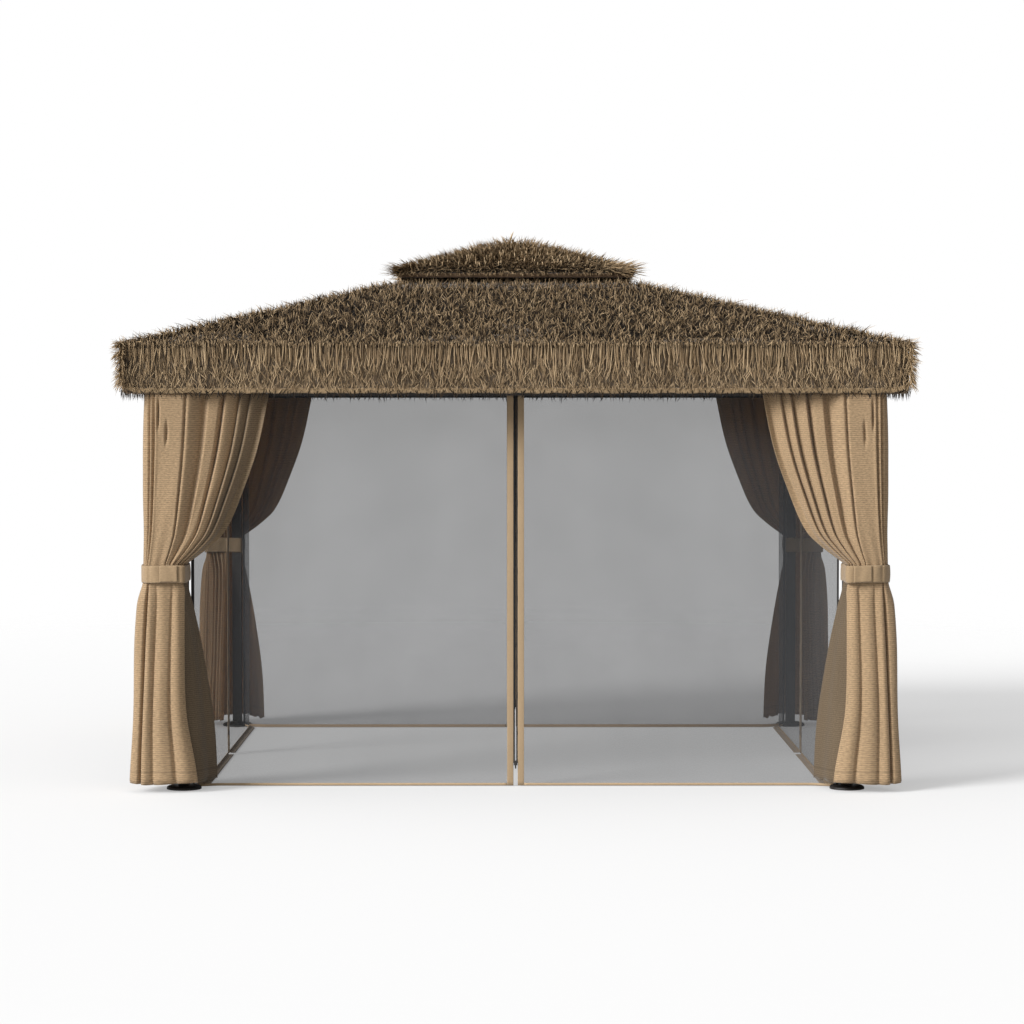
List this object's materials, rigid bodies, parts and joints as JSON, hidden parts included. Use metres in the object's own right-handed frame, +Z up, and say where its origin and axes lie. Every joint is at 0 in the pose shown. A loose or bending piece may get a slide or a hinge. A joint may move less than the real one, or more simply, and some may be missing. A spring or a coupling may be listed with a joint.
{
  "type": "thatched roof gazebo",
  "caption": "Free-standing gazebo with a vented two-tier thatched hip roof, fringed valance, tied-back corner curtains and zipped insect-net walls on square posts.",
  "frame": {"origin": "middle of the floor that the feet stand on", "axes": "+Z up, front wall faces -Y, +X to the right as seen from the front"},
  "size_m": [3.66, 3.048, 2.656],
  "materials": {
    "frame_steel": "satin charcoal powder coat",
    "rail_steel": "satin charcoal powder coat",
    "foot_plastic": "glossy black",
    "canopy_cloth": "coated woven canopy cloth, brown",
    "thatch": "weathered artificial thatch, strand by strand",
    "zinc": "zinc plated",
    "curtain_cloth": "ribbed woven polyester, tan",
    "net": "fine black insect net",
    "binding": "sewn tan binding tape with black zip",
    "slider": "black lacquered zinc"
  },
  "bodies": {
    "root": {"post_front_left": "frame_steel", "post_front_right": "frame_steel", "post_back_left": "frame_steel", "post_back_right": "frame_steel", "foot_plates": "frame_steel", "beam_front": "frame_steel", "beam_back": "frame_steel", "beam_left": "frame_steel", "beam_right": "frame_steel", "corner_brackets": "frame_steel", "hip_rafters": "frame_steel", "mid_rafters": "frame_steel", "eave_rails": "frame_steel", "vent_frame": "frame_steel", "upper_rafters": "frame_steel", "crown_hub": "frame_steel", "lower_canopy": "canopy_cloth", "upper_canopy": "canopy_cloth", "thatch_front": "thatch", "thatch_back": "thatch", "thatch_left": "thatch", "thatch_right": "thatch", "valance": "thatch", "upper_thatch": "thatch", "curtain_rails": "rail_steel", "net_rails": "rail_steel", "rail_brackets": "frame_steel", "curtain_front_left": "curtain_cloth", "curtain_front_right": "curtain_cloth", "curtain_back_left": "curtain_cloth", "curtain_back_right": "curtain_cloth", "tiebacks": "curtain_cloth", "curtain_rings": "zinc", "net_rings": "zinc", "net_front_left": "net", "net_front_right": "net", "net_back_left": "net", "net_back_right": "net", "net_left_front": "net", "net_left_back": "net", "net_right_front": "net", "net_right_back": "net", "fasteners": "zinc"},
    "net_edge_front_left": {"zip_edge_front_left": "binding"},
    "net_edge_front_right": {"zip_edge_front_right": "binding"},
    "slider_front": {"zip_slider_front": "slider"},
    "net_edge_back_left": {"zip_edge_back_left": "binding"},
    "net_edge_back_right": {"zip_edge_back_right": "binding"},
    "slider_back": {"zip_slider_back": "slider"},
    "net_edge_left_front": {"zip_edge_left_front": "binding"},
    "net_edge_left_back": {"zip_edge_left_back": "binding"},
    "slider_left": {"zip_slider_left": "slider"},
    "net_edge_right_front": {"zip_edge_right_front": "binding"},
    "net_edge_right_back": {"zip_edge_right_back": "binding"},
    "slider_right": {"zip_slider_right": "slider"},
    "cover_front_left": {"foot_cover_front_left": "foot_plastic"},
    "cover_front_right": {"foot_cover_front_right": "foot_plastic"},
    "cover_back_left": {"foot_cover_back_left": "foot_plastic"},
    "cover_back_right": {"foot_cover_back_right": "foot_plastic"}
  },
  "joints": [
    {"name": "net_front_left_draw", "type": "slide", "parent": "root", "child": "net_edge_front_left", "axis": [-1, 0, 0], "range_m": [0, 1.22], "deforming": ["net_front_left", "net_rings"]},
    {"name": "net_front_right_draw", "type": "slide", "parent": "root", "child": "net_edge_front_right", "axis": [1, 0, 0], "range_m": [0, 1.22], "deforming": ["net_front_right", "net_rings"]},
    {"name": "zip_front_pull", "type": "slide", "parent": "net_edge_front_left", "child": "slider_front", "axis": [0, 0, 1], "range_m": [0, 1.6]},
    {"name": "net_back_left_draw", "type": "slide", "parent": "root", "child": "net_edge_back_left", "axis": [-1, 0, 0], "range_m": [0, 1.22], "deforming": ["net_back_left", "net_rings"]},
    {"name": "net_back_right_draw", "type": "slide", "parent": "root", "child": "net_edge_back_right", "axis": [1, 0, 0], "range_m": [0, 1.22], "deforming": ["net_back_right", "net_rings"]},
    {"name": "zip_back_pull", "type": "slide", "parent": "net_edge_back_left", "child": "slider_back", "axis": [0, 0, 1], "range_m": [0, 1.6]},
    {"name": "net_left_front_draw", "type": "slide", "parent": "root", "child": "net_edge_left_front", "axis": [0, -1, 0], "range_m": [0, 0.97], "deforming": ["net_left_front", "net_rings"]},
    {"name": "net_left_back_draw", "type": "slide", "parent": "root", "child": "net_edge_left_back", "axis": [0, 1, 0], "range_m": [0, 0.97], "deforming": ["net_left_back", "net_rings"]},
    {"name": "zip_left_pull", "type": "slide", "parent": "net_edge_left_front", "child": "slider_left", "axis": [0, 0, 1], "range_m": [0, 1.6]},
    {"name": "net_right_front_draw", "type": "slide", "parent": "root", "child": "net_edge_right_front", "axis": [0, -1, 0], "range_m": [0, 0.97], "deforming": ["net_right_front", "net_rings"]},
    {"name": "net_right_back_draw", "type": "slide", "parent": "root", "child": "net_edge_right_back", "axis": [0, 1, 0], "range_m": [0, 0.97], "deforming": ["net_right_back", "net_rings"]},
    {"name": "zip_right_pull", "type": "slide", "parent": "net_edge_right_front", "child": "slider_right", "axis": [0, 0, 1], "range_m": [0, 1.6]},
    {"name": "cover_front_left_lift", "type": "slide", "parent": "root", "child": "cover_front_left", "axis": [0, 0, 1], "range_m": [0, 0.12]},
    {"name": "cover_front_right_lift", "type": "slide", "parent": "root", "child": "cover_front_right", "axis": [0, 0, 1], "range_m": [0, 0.12]},
    {"name": "cover_back_left_lift", "type": "slide", "parent": "root", "child": "cover_back_left", "axis": [0, 0, 1], "range_m": [0, 0.12]},
    {"name": "cover_back_right_lift", "type": "slide", "parent": "root", "child": "cover_back_right", "axis": [0, 0, 1], "range_m": [0, 0.12]}
  ]
}
